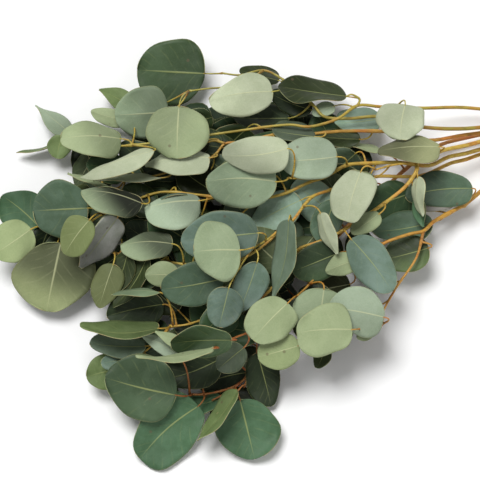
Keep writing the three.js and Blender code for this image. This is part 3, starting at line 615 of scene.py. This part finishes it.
def leaf_material(name, tint_layer, vein_colour, vein_strength, roughness, bloom):
    """A waxy leaf face: midrib, fanned side veins, bloom, mottling, rim."""
    material, tree, shader = fresh_material(name)
    coords = tree.nodes.new("ShaderNodeTexCoord")
    spot = coords.outputs["Object"]
    tint = tree.nodes.new("ShaderNodeAttribute")
    tint.attribute_name = tint_layer
    parts = tree.nodes.new("ShaderNodeSeparateXYZ")
    tree.links.new(coords.outputs["UV"], parts.inputs[0])
    along = parts.outputs["X"]
    side = math_node(tree, "ABSOLUTE", math_node(
        tree, "MULTIPLY_ADD", parts.outputs["Y"], 2.0, -1.0))

    # The midrib is broad at the stalk and fades out near the tip.
    rib_width = math_node(tree, "MULTIPLY_ADD", along, -0.035, 0.052)
    rib = math_node(tree, "DIVIDE", side, rib_width)
    rib = ramp_between(tree, rib, 1.0, 0.3)
    rib = math_node(tree, "MULTIPLY", rib, ramp_between(tree, along, 1.0, 0.4))

    # Side veins leave the midrib at a slant and curve towards the tip.
    wobble = noise(tree, spot, 30.0, 1.0)
    slant = math_node(tree, "MULTIPLY", math_node(tree, "POWER", side, 0.75), -0.26)
    slant = math_node(tree, "ADD", slant, along)
    slant = math_node(tree, "MULTIPLY_ADD", wobble, 0.12, slant)
    veins = math_node(tree, "SINE", math_node(tree, "MULTIPLY", slant, 56.0))
    veins = ramp_between(tree, veins, 0.78, 1.0)
    faint = noise(tree, spot, 70.0, 2.0)
    veins = math_node(tree, "MULTIPLY", veins, ramp_between(tree, faint, 0.4, 0.65))

    broad = noise(tree, spot, 26.0, 3.0)
    patchy = noise(tree, spot, 95.0, 5.0, 0.6)
    fine = noise(tree, spot, 700.0, 5.0, 0.6)

    # Waxy bloom lightens the face in soft drifts, and older patches darken it.
    colour = tint.outputs["Color"]
    darker = blend_colour(tree, 1.0, colour, (0.66, 0.70, 0.60, 1), "MULTIPLY")
    lighter = blend_colour(tree, 1.0, colour, (1.42, 1.34, 1.46, 1), "MULTIPLY")
    for pattern, start, stop, none, most, tone in (
            (broad, 0.42, 0.6, bloom, 0.0, darker),
            (patchy, 0.42, 0.66, 0.0, 0.6 * bloom, lighter),
            (fine, 0.42, 0.7, 0.0, 0.14, lighter),
            (fine, 0.5, 0.32, 0.0, 0.12, darker)):
        amount = ramp_between(tree, pattern, start, stop, none, most)
        colour = blend_colour(tree, amount, colour, tone)
    for lines, amount in ((veins, 0.09), (rib, 0.62)):
        amount = math_node(tree, "MULTIPLY", lines, amount * vein_strength)
        colour = blend_colour(tree, amount, colour, vein_colour)
    rim = ramp_between(tree, side, 0.95, 1.0, 0.0, 0.3)
    colour = blend_colour(tree, rim, colour, (0.30, 0.31, 0.13, 1))
    specks = tree.nodes.new("ShaderNodeTexVoronoi")
    specks.inputs["Scale"].default_value = 46.0
    tree.links.new(spot, specks.inputs["Vector"])
    speck = ramp_between(tree, specks.outputs["Distance"], 0.09, 0.05, 0.0, 0.55)
    colour = blend_colour(tree, speck, colour, (0.12, 0.085, 0.05, 1))
    feed(tree, shader.inputs["Base Color"], colour)

    feed(tree, shader.inputs["Roughness"],
         ramp_between(tree, patchy, 0.3, 0.7, roughness - 0.07, roughness + 0.1))
    shader.inputs["Specular IOR Level"].default_value = 0.22

    # The rib stands out, the veins are sunk, and the face is gently uneven.
    height = math_node(tree, "MULTIPLY", rib, 0.3)
    for pattern, amount in ((veins, -0.10), (fine, 0.12), (patchy, 0.5), (broad, 2.4)):
        height = math_node(tree, "MULTIPLY_ADD", pattern, amount, height)
    add_bump(tree, shader, height, 0.0012, 0.6)
    return material


def mottled_material(name, scale, detail, limits, first, second):
    """A material that drifts between two colours."""
    material, tree, shader = fresh_material(name)
    coords = tree.nodes.new("ShaderNodeTexCoord")
    drift = noise(tree, coords.outputs["Object"], scale, detail)
    feed(tree, shader.inputs["Base Color"],
         blend_colour(tree, ramp_between(tree, drift, *limits), first, second))
    return material, tree, shader, coords.outputs["Object"], drift


def rim_material():
    material, _, shader, _, _ = mottled_material(
        "leaf_rim", 90.0, 4.0, (0.4, 0.62), (0.33, 0.37, 0.17, 1), (0.42, 0.33, 0.15, 1))
    shader.inputs["Roughness"].default_value = 0.55
    return material


def bark_material():
    """Young bark: yellow-green to olive and orange, redder at the joints."""
    material, tree, shader = fresh_material("young_bark")
    coords = tree.nodes.new("ShaderNodeTexCoord")
    tint = tree.nodes.new("ShaderNodeAttribute")
    tint.attribute_name = "bark_tint"
    grain = tree.nodes.new("ShaderNodeMapping")
    grain.inputs["Scale"].default_value = (60.0, 420.0, 420.0)
    tree.links.new(coords.outputs["Object"], grain.inputs["Vector"])
    streaky = noise(tree, grain.outputs["Vector"], 1.0, 5.0)
    broad = noise(tree, coords.outputs["Object"], 55.0, 4.0)
    fine = noise(tree, coords.outputs["Object"], 900.0, 4.0)
    colour = tint.outputs["Color"]
    darker = blend_colour(tree, 1.0, colour, (0.50, 0.42, 0.28, 1), "MULTIPLY")
    colour = blend_colour(tree, ramp_between(tree, streaky, 0.45, 0.66, 0.0, 0.7), colour, darker)
    orange = blend_colour(tree, 1.0, colour, (1.08, 0.68, 0.55, 1), "MULTIPLY")
    colour = blend_colour(tree, ramp_between(tree, broad, 0.5, 0.64, 0.0, 0.75), colour, orange)
    colour = blend_colour(tree, ramp_between(tree, fine, 0.58, 0.72, 0.0, 0.15),
                          colour, (0.50, 0.42, 0.18, 1))
    feed(tree, shader.inputs["Base Color"], colour)
    feed(tree, shader.inputs["Roughness"], ramp_between(tree, streaky, 0.3, 0.7, 0.42, 0.62))
    add_bump(tree, shader, math_node(tree, "ADD", streaky, fine), 0.0004, 0.5)
    return material


def cut_wood_material():
    """The cut ends: pale wet wood, greener in patches."""
    material, tree, shader, _, grain = mottled_material(
        "cut_wood", 1100.0, 5.0, (0.4, 0.62), (0.60, 0.55, 0.36, 1), (0.42, 0.40, 0.20, 1))
    shader.inputs["Roughness"].default_value = 0.7
    add_bump(tree, shader, grain, 0.0003)
    return material


def rubber_material():
    material, tree, shader, spot, dusty = mottled_material(
        "tan_rubber", 260.0, 6.0, (0.4, 0.65), (0.42, 0.26, 0.11, 1), (0.52, 0.36, 0.18, 1))
    feed(tree, shader.inputs["Roughness"], ramp_between(tree, dusty, 0.3, 0.7, 0.42, 0.6))
    add_bump(tree, shader, noise(tree, spot, 1500.0, 3.0), 0.0002, 0.3)
    return material


UPPER = leaf_material("leaf_upper", TINT_LAYERS[0], (0.34, 0.38, 0.14, 1), 1.0, 0.5, 0.6)
UNDER = leaf_material("leaf_under", TINT_LAYERS[1], (0.62, 0.64, 0.36, 1), 0.75, 0.6, 0.25)
RIM = rim_material()
BARK = bark_material()
CUT_WOOD = cut_wood_material()
RUBBER = rubber_material()
LEAF_MATERIALS = [UPPER, UNDER, RIM]


# ---------------------------------------------------------------- building
def blade_spots(leaf, raised=0):
    """An even spread of places on a blade, row after row along it."""
    return [leaf.point(x / NET_ALONG - 0.5, y / NET_ACROSS - 0.5) + TOWARD * raised
            for x in range(NET_ALONG + 1) for y in range(NET_ACROSS + 1)]


def settle_on_node(leaf, node):
    """Raise a leaf to where its node lies on the heap."""
    lowest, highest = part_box(node)
    middle = (Vector(lowest) + Vector(highest)) / 2
    spots = [in_metres(spot) for spot in blade_spots(leaf)]
    own = Vector([(min(s[i] for s in spots) + max(s[i] for s in spots)) / 2 for i in range(3)])
    leaf.base = leaf.base + TOWARD * ((middle - own).dot(TOWARD) / MM)


leaves = []
for number, (name, *spec) in enumerate(LEAVES):
    leaf = Leaf(number, name, spec)
    settle_on_node(leaf, "leaf_" + name)
    leaves.append(leaf)


def build_leaf(leaf):
    node = "leaf_" + leaf.name
    bm = new_leaf_mesh()
    shape_blade(bm, leaf, *LEAF_STEPS)
    piece = finish_piece(node + "_blade", bm, LEAF_MATERIALS)
    thicken(piece, LEAF_THICK * MM)
    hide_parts(node)
    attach(piece, "root")


# Stems: a smooth route, swept ring by ring.
def smooth_route(points, pieces_each):
    """A rounded route through the points (centripetal Catmull-Rom)."""
    ends = [points[0] * 2 - points[1]] + list(points) + [points[-1] * 2 - points[-2]]
    route = []
    for first, second, third, fourth in zip(ends, ends[1:], ends[2:], ends[3:]):
        t0 = 0.0
        t1 = t0 + math.sqrt((second - first).length)
        t2 = t1 + math.sqrt((third - second).length)
        t3 = t2 + math.sqrt((fourth - third).length)
        for i in range(pieces_each):
            t = t1 + (t2 - t1) * i / pieces_each
            a1 = first * ((t1 - t) / (t1 - t0)) + second * ((t - t0) / (t1 - t0))
            a2 = second * ((t2 - t) / (t2 - t1)) + third * ((t - t1) / (t2 - t1))
            a3 = third * ((t3 - t) / (t3 - t2)) + fourth * ((t - t2) / (t3 - t2))
            b1 = a1 * ((t2 - t) / (t2 - t0)) + a2 * ((t - t0) / (t2 - t0))
            b2 = a2 * ((t3 - t) / (t3 - t1)) + a3 * ((t - t1) / (t3 - t1))
            route.append(b1 * ((t2 - t) / (t2 - t1)) + b2 * ((t - t1) / (t2 - t1)))
    route.append(points[-1].copy())
    return route


def sweep_tube(bm, route, radii, tints, sides, cut_start=False):
    """Extrude a ring along the route, closing both ends."""
    layer = bm.verts.layers.float_color["bark_tint"]
    frames = []
    facing = (route[1] - route[0]).normalized()
    across = facing.orthogonal().normalized()
    for i, spot in enumerate(route):
        ahead = route[min(i + 1, len(route) - 1)] - route[max(i - 1, 0)]
        ahead.normalize()
        across = (across - ahead * across.dot(ahead)).normalized()
        other = ahead.cross(across)
        turn = Matrix((across, other, ahead)).transposed().to_4x4()
        size = Matrix.Scale(radii[i] * MM, 4)
        frames.append(Matrix.Translation(in_metres(spot)) @ turn @ size)
    start = bmesh.ops.create_circle(
        bm, cap_ends=True, radius=1.0, segments=sides, matrix=frames[0])
    ring = start["verts"]
    cap = ring[0].link_faces[0]
    edges = list(cap.edges)
    for vert in ring:
        vert[layer] = (*tints[0], 1.0)
    for i in range(1, len(frames)):
        grown = bmesh.ops.extrude_edge_only(bm, edges=edges)
        ring = [item for item in grown["geom"] if isinstance(item, bmesh.types.BMVert)]
        edges = [item for item in grown["geom"] if isinstance(item, bmesh.types.BMEdge)]
        bmesh.ops.transform(bm, matrix=frames[i] @ frames[i - 1].inverted(), verts=ring)
        for vert in ring:
            vert[layer] = (*tints[i], 1.0)
    ring_set = set(ring)
    loop = [edge for edge in edges if edge.verts[0] in ring_set and edge.verts[1] in ring_set]
    bmesh.ops.contextual_create(bm, geom=loop)
    cap.material_index = 1 if cut_start else 0


def number_by_place(bm):
    """Number a mesh's parts by where they lie, so that each run orders them alike."""
    def corners(part):
        return sorted(vert.index for vert in part.verts)

    for parts, key in ((bm.verts, lambda vert: tuple(vert.co)),
                       (bm.edges, corners), (bm.faces, corners)):
        for number, part in enumerate(sorted(parts, key=key)):
            part.index = number
        parts.sort()


def bundle_points(slot, cut):
    """The end of a stem's route: its cut end, then both sides of the band."""
    centre = band_centre()
    angle = 2 * math.pi * (slot - 1) / SLOTS_ROUND
    ring = 0 if slot == 0 else SLOT_RING
    aside = Vector((0, ring * math.cos(angle), ring * math.sin(angle)))
    leaving = centre + aside + Vector((BAND_WIDE, 0, 0))
    entering = centre + aside - Vector((BAND_WIDE, 0, 0))
    end = centre + aside * CUT_SPREAD
    end.x = CUT_ACROSS + cut
    return [end, leaving, entering]


OLIVE = Vector((0.270, 0.225, 0.022))
YELLOW = Vector((0.560, 0.400, 0.060))
ORANGE = Vector((0.520, 0.250, 0.035))
BROWN = Vector((0.280, 0.085, 0.022))
FRESH = Vector((0.500, 0.460, 0.100))
BARK_OF_STEM = {
    "stem_top": OLIVE * 0.5 + YELLOW * 0.5, "stem_crown": OLIVE, "stem_upper": ORANGE,
    "stem_yellow": YELLOW, "stem_middle": YELLOW * 0.7 + OLIVE * 0.3,
    "stem_long": ORANGE * 0.4 + YELLOW * 0.6, "stem_orange": ORANGE * 0.7 + YELLOW * 0.3,
    "stem_low": ORANGE * 0.5 + BROWN * 0.5,
}

TIP_OF_STEM = {
    "stem_low": BROWN, "stem_orange": ORANGE, "stem_middle": YELLOW,
    "stem_yellow": ORANGE * 0.6 + YELLOW * 0.4,
}

twigs = []
for owner, (name, slot, thick, thin, cut, route, side_twigs) in enumerate(STEMS):
    main = bundle_points(slot, cut) + [place(*spot) for spot in route]
    twigs.append({"owner": owner, "route": smooth_route(main, ROUTE_STEPS), "from": thick,
                  "to": thin, "sides": 12, "main": True})
    for twig in side_twigs:
        points = [place(*spot) for spot in twig]
        twigs.append({"owner": owner, "route": smooth_route(points, ROUTE_STEPS),
                      "from": TWIG_THICK, "to": TWIG_THIN, "sides": 10, "main": False})


def stem_points_near(target):
    """Every place on the stems where a stalk could start, nearest first."""
    return sorted(((spot - target).length, index, position)
                  for index, twig in enumerate(twigs)
                  for position, spot in enumerate(twig["route"])
                  if spot.x < BAND_ACROSS - BARE_LENGTH)


def pierces(route, blades):
    """Whether a stalk passes through a blade other than its own."""
    for first, second in zip(route[:-3], route[1:-2]):
        step = second - first
        if blades.ray_cast(first, step, step.length)[0] is not None:
            return True
    return False


def stalk_for(leaf, blades, reach):
    """The leaf's stalk, from a stem within reach into the foot of the midrib.

    It starts at the nearest place from which it meets no other leaf.
    """
    lead = leaf.base - leaf.along * STALK_LEAD
    foot = leaf.base + leaf.along * 1.5 - leaf.out * 0.4
    stalk = None
    for far, index, position in stem_points_near(lead):
        if far > reach and stalk:
            break
        root = twigs[index]["route"][position]
        route = []
        for i in range(STALK_STEPS + 1):
            t = i / STALK_STEPS
            route.append(root * (1 - t) ** 2 + lead * (2 * t * (1 - t)) + foot * t ** 2)
        clear = not pierces(route, blades)
        if stalk is None or clear:
            stalk = {"owner": twigs[index]["owner"], "route": route, "from": STALK_THICK,
                     "to": STALK_THIN, "sides": 8, "main": False, "root": index,
                     "far": far, "clear": clear}
        if clear:
            break
    return stalk


def hides(leaf, raised, showing):
    """Whether a leaf would lie in front of anything that should show."""
    for x in range(1, 6):
        for y in range(-1, 2):
            spot = leaf.point(x / 6 - 0.5, 0.4 * y) + TOWARD * raised
            if any(tree.ray_cast(spot, -TOWARD)[0] is not None for tree in showing):
                return True
    return False


def clear_of(tree, others):
    return not any(tree.overlap(other) for other in others)


def net_of_blades(some_leaves, raised=0):
    """A coarse net of some blades, for telling whether anything touches them."""
    spots = []
    faces = []
    for leaf in some_leaves:
        start = len(spots)
        spots += blade_spots(leaf, raised)
        row = NET_ACROSS + 1
        for x in range(NET_ALONG):
            for y in range(NET_ACROSS):
                corner = start + row * x + y
                faces.append((corner, corner + row, corner + row + 1, corner + 1))
    return BVHTree.FromPolygons(spots, faces)


def tube_tree(twig):
    """A coarse net of a stem, a little fatter than the stem itself."""
    spots = []
    faces = []
    route = twig["route"]
    for i, spot in enumerate(route):
        ahead = (route[min(i + 1, len(route) - 1)] - route[max(i - 1, 0)]).normalized()
        across = ahead.orthogonal().normalized()
        other = ahead.cross(across)
        radius = twig["from"] + (twig["to"] - twig["from"]) * i / (len(route) - 1) + 0.4
        for k in range(4):
            turn = math.pi * k / 2
            spots.append(spot + (across * math.cos(turn) + other * math.sin(turn)) * radius)
    for i in range(len(route) - 1):
        start = 4 * i
        for k in range(4):
            beside = (k + 1) % 4
            faces.append((start + k, start + beside, start + 4 + beside, start + 4 + k))
    return BVHTree.FromPolygons(spots, faces)


stem_trees = [tube_tree(twig) for twig in twigs]
placed = list(stem_trees)


def ease_apart(leaf):
    """Shift a leaf a little where its waves would cut into a neighbour."""
    step = EASE_STEP if leaf.layer >= 0 else -EASE_STEP
    for i in range(EASE_TRIES):
        tree = net_of_blades([leaf], i * step)
        if clear_of(tree, placed):
            leaf.base = leaf.base + TOWARD * (i * step)
            placed.append(tree)
            return
    placed.append(net_of_blades([leaf]))


for leaf in sorted(leaves, key=lambda leaf: leaf.layer):
    ease_apart(leaf)
for leaf in leaves:
    build_leaf(leaf)

net = net_of_blades(leaves)
stalks = [stalk_for(leaf, net, STALK_REACH) for leaf in leaves]
placed += [tube_tree(stalk) for stalk in stalks if stalk["far"] > SHORT_STALK]


def table_clear(leaf, raised):
    return all(in_metres(spot).z > TABLE_GAP * MM for spot in blade_spots(leaf, raised))


def tuck_in(leaf, tries, step, showing=()):
    """Lower a leaf along the line of sight until it touches and hides nothing."""
    for i in range(tries):
        for raised in ((-i * step,) if i == 0 or showing else (-i * step, i * step * 0.5)):
            if not table_clear(leaf, raised) or hides(leaf, raised, showing):
                continue
            tree = net_of_blades([leaf], raised)
            if clear_of(tree, placed):
                leaf.base = leaf.base + TOWARD * raised
                placed.append(tree)
                return True
    return False


def inside(across, up):
    """Whether a place lies in the outline of the leafy mass."""
    count = 0
    corners = MASS_OUTLINE
    for (x1, y1), (x2, y2) in zip(corners, corners[1:] + corners[:1]):
        if (y1 > up) != (y2 > up) and across < x1 + (up - y1) * (x2 - x1) / (y2 - y1):
            count += 1
    return count % 2 == 1


def covered(leaf, showing):
    """Whether the whole of a leaf is out of sight under the leaves above it."""
    return all(any(tree.ray_cast(leaf.point(x / 4 - 0.5, y / 2), TOWARD)[0] is not None
                   for tree in showing)
               for x in range(5) for y in (-1, 0, 1))


small = []
for number, (name, *spec) in enumerate(SMALL_LEAVES):
    leaf = Leaf(100 + number, name, spec)
    if tuck_in(leaf, *SMALL_TUCK):
        small.append(leaf)

# The leaves lower in the heap, laid in rows with a steady scatter: how deep
# each row lies, how far its tint is darkened as painted shade, and how far
# apart its leaves are.
LOWER_TINTS = ["deep", "green", "olive", "blue", "deep", "moss", "slate", "green"]
LOWER_ROWS = [(0.9, 0.42, 24), (0.72, 0.28, 24), (0.52, 0.2, 28), (0.25, 0.24, 34)]


def lower_leaf(number, across, up):
    """A leaf that lies as chance has it near its place in a row."""
    across += LOWER_SCATTER * (spread(number, 4) - 0.5)
    up += LOWER_SCATTER * (spread(number, 5) - 0.5)
    heading = 185 + 150 * (spread(number, 6) - 0.5)
    length = 36 + 18 * spread(number, 7)
    width = length * (0.72 + 0.2 * spread(number, 8))
    roll = 70 * (spread(number, 9) - 0.5)
    pitch = 40 * (spread(number, 10) - 0.5)
    tint = LOWER_TINTS[int(len(LOWER_TINTS) * spread(number, 11))]
    face = "upper" if spread(number, 12) < 0.85 else "under"
    leaf = Leaf(number, "lower",
                (across, up, heading, length, width, pitch, roll, 0, face, tint, 0.12))
    # Less blue in the lower leaves warms their painted shade.
    leaf.warmth = LOWER_WARMTH
    return leaf


blades = [net_of_blades(leaves + small)]
showing = blades + stem_trees
lower = []
number = 200
for depth, shade, apart in LOWER_ROWS:
    for row in range(-9, 9):
        for column in range(-10, 10):
            number += 1
            leaf = lower_leaf(number, apart * column + 0.5 * apart * (row % 2), 0.9 * apart * row)
            # The row's darkening of the tint is painted shade.
            leaf.shade = shade
            middle = leaf.point(0, 0)
            drop = (1 - depth) * heap_height(middle.x, middle.dot(RISE))
            leaf.base = leaf.base - TOWARD * drop
            rim = [leaf.point(x / 8 - 0.5, y) for x in range(9) for y in (-0.5, 0.5)]
            if not all(inside(spot.x, spot.dot(RISE)) for spot in rim):
                # A leaf past the edge of the mass gets the edge darkening, painted shade, and
                # stays only where the leaves above cover it.
                leaf.shade = EDGE_SHADE
                if not covered(leaf, blades):
                    continue
            if tuck_in(leaf, *LOWER_TUCK, showing):
                lower.append(leaf)

net = net_of_blades(leaves + small + lower)
stalks += [stalk_for(leaf, net, STALK_REACH) for leaf in small]
for leaf in lower:
    stalk = stalk_for(leaf, net, LOWER_STALK_REACH)
    near = sum((stalk["route"][0] - other["route"][0]).length < STALKS_APART
               for other in stalks)
    if stalk["clear"] and stalk["far"] < LOWER_STALK_REACH and near < 2:
        stalks.append(stalk)
print("leaves", len(leaves), "small", len(small), "lower", len(lower), "stalks", len(stalks),
      "through a leaf", sum(not stalk["clear"] for stalk in stalks))


def bark_tints(twig, name):
    """Colour along a twig: its own bark, fresher to the tip, red at the joint."""
    base = BARK_OF_STEM[name]
    count = len(twig["route"])
    tints = []
    for i in range(count):
        t = i / (count - 1)
        if twig["main"]:
            tint = base.lerp(TIP_OF_STEM.get(name, FRESH), 0.5 * t)
            tint = tint.lerp(ORANGE, 0.4 * spread(i // 3, twig["owner"]) * (1 - t))
        else:
            joint = math.exp(-(t / 0.12) ** 2)
            tint = TIP_OF_STEM.get(name, FRESH).lerp(base, 0.4).lerp(BROWN, 0.55 * joint)
        tints.append(tuple(tint))
    return tints


def tube_radii(twig, joints):
    """Radius along a twig, with a slight swelling at each joint."""
    count = len(twig["route"])
    radii = []
    for i in range(count):
        t = i / (count - 1)
        radius = twig["from"] + (twig["to"] - twig["from"]) * t
        for joint in joints:
            near = (twig["route"][i] - joint).length
            radius *= 1 + 0.22 * math.exp(-(near / 2.6) ** 2)
        if not twig["main"]:
            radius *= 1 + 0.35 * math.exp(-(t / 0.1) ** 2)
        radii.append(radius)
    return radii


for owner, (name, *_) in enumerate(STEMS):
    bm = bmesh.new()
    bm.verts.layers.float_color.new("bark_tint")
    for index, twig in enumerate(twigs):
        if twig["owner"] != owner:
            continue
        joints = [stalk["route"][0] for stalk in stalks if stalk["root"] == index]
        sweep_tube(bm, twig["route"], tube_radii(twig, joints), bark_tints(twig, name),
                   twig["sides"], cut_start=twig["main"])
    for stalk in stalks:
        if stalk["owner"] == owner:
            sweep_tube(bm, stalk["route"], tube_radii(stalk, []), bark_tints(stalk, name),
                       stalk["sides"])
    number_by_place(bm)
    bmesh.ops.recalc_face_normals(bm, faces=bm.faces)
    piece = finish_piece(name + "_bark", bm, [BARK, CUT_WOOD])
    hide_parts(name)
    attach(piece, "root")


def build_leaf_group(name, group, start, stop, steps):
    """One piece of all the leaves of a group whose base lies in a stretch across."""
    bm = new_leaf_mesh()
    for leaf in group:
        if start <= leaf.across < stop:
            shape_blade(bm, leaf, *steps)
    piece = finish_piece(name, bm, LEAF_MATERIALS)
    thicken(piece, SMALL_LEAF_THICK * MM)
    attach(piece, "root")


build_leaf_group("small_leaves_left", small, -300, -40, SMALL_STEPS)
build_leaf_group("small_leaves_right", small, -40, 300, SMALL_STEPS)
build_leaf_group("lower_leaves_left", lower, -300, -60, LOWER_STEPS)
build_leaf_group("lower_leaves_middle", lower, -60, 60, LOWER_STEPS)
build_leaf_group("lower_leaves_right", lower, 60, 300, LOWER_STEPS)


# The rubber band, wound side by side and drawn tight over the outer stems.
def tight_radius(turn):
    """How far out a stretched band lies over the ring of stems."""
    best = math.inf
    for i in range(BAND_FACINGS):
        facing = 2 * math.pi * i / BAND_FACINGS
        if math.cos(turn - facing) < 0.5:
            continue
        reach = 0.0
        for slot in range(1, SLOTS_ROUND + 1):
            angle = 2 * math.pi * (slot - 1) / SLOTS_ROUND
            reach = max(reach, SLOT_RING * math.cos(angle - facing) + STEM_IN_BAND)
        best = min(best, reach / math.cos(turn - facing))
    return best


bm = bmesh.new()
centre = band_centre()
for wind in range(WINDS):
    offset = (wind - (WINDS - 1) / 2) * 2 * STRAND * 1.02
    rings = []
    for i in range(BAND_STEPS):
        turn = 2 * math.pi * i / BAND_STEPS
        radius = tight_radius(turn) + 0.85 + 0.12 * math.sin(3 * turn + wind)
        lean = 0.25 * math.sin(turn + 1.3 * wind)
        spot = centre + Vector((offset + lean, radius * math.cos(turn), radius * math.sin(turn)))
        outward = Vector((0, math.cos(turn), math.sin(turn)))
        facing = RIGHT.cross(outward)
        basis = Matrix((RIGHT * STRAND, outward * 0.75, facing)).transposed().to_4x4()
        shape = Matrix.Translation(in_metres(spot)) @ basis @ Matrix.Scale(MM, 4)
        ring = bmesh.ops.create_circle(bm, cap_ends=False, radius=1.0, segments=10, matrix=shape)
        rings.append(list({edge for vert in ring["verts"] for edge in vert.link_edges}))
    for i in range(BAND_STEPS):
        bmesh.ops.bridge_loops(bm, edges=rings[i] + rings[(i + 1) % BAND_STEPS])
bmesh.ops.recalc_face_normals(bm, faces=bm.faces)
band = finish_piece("rubber_band_winds", bm, [RUBBER])
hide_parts("rubber_band")
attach(band, "root")


# ---------------------------------------------------------------- stage
def soft_sun(name, from_side, strength, softness):
    data = bpy.data.lights.new(name, "SUN")
    data.energy = strength
    data.angle = math.radians(softness)
    light = bpy.data.objects.new(name, data)
    light.rotation_euler = (-Vector(from_side)).to_track_quat("-Z", "Y").to_euler()
    bpy.context.collection.objects.link(light)


floor_mesh = bmesh.new()
bmesh.ops.create_grid(floor_mesh, x_segments=1, y_segments=1, size=30.0)
floor_material, _, floor_shader = fresh_material("pale_table")
floor_shader.inputs["Base Color"].default_value = (0.93, 0.93, 0.93, 1)
floor_shader.inputs["Roughness"].default_value = 0.9
floor_shader.inputs["Specular IOR Level"].default_value = 0.1
floor = finish_piece("table_top", floor_mesh, [floor_material], smooth=False)

# A soft even room, with a white wall low round the horizon.
world = bpy.data.worlds.new("studio")
world.use_nodes = True
room = world.node_tree
room_light = room.nodes["Background"]
room_light.inputs["Color"].default_value = (1, 1, 1, 1)
room_way = room.nodes.new("ShaderNodeTexCoord")
room_parts = room.nodes.new("ShaderNodeSeparateXYZ")
room.links.new(room_way.outputs["Generated"], room_parts.inputs[0])
feed(room, room_light.inputs["Strength"],
     ramp_between(room, room_parts.outputs["Z"], 0.1, 0.16, 1.0, 0.3))
bpy.context.scene.world = world

soft_sun("overhead", (-0.25, 0.25, 1.0), 2.65, 30)
soft_sun("front_fill", (0.5, -1.0, 0.8), 0.45, 60)

camera_data = bpy.data.cameras.new("camera")
camera = bpy.data.objects.new("camera", camera_data)
bpy.context.collection.objects.link(camera)
camera_data.sensor_width = CAMERA_SENSOR
camera_data.lens = CAMERA_SENSOR * CAMERA_FAR / VIEW_WIDE
camera.location = in_metres(in_sight(0, 0, LOOK_TOWARD)) + TOWARD * CAMERA_FAR
camera.rotation_euler = (-TOWARD).to_track_quat("-Z", "Y").to_euler()
bpy.context.scene.camera = camera
bpy.context.scene.view_settings.view_transform = "Standard"
bpy.context.scene.view_settings.look = "None"
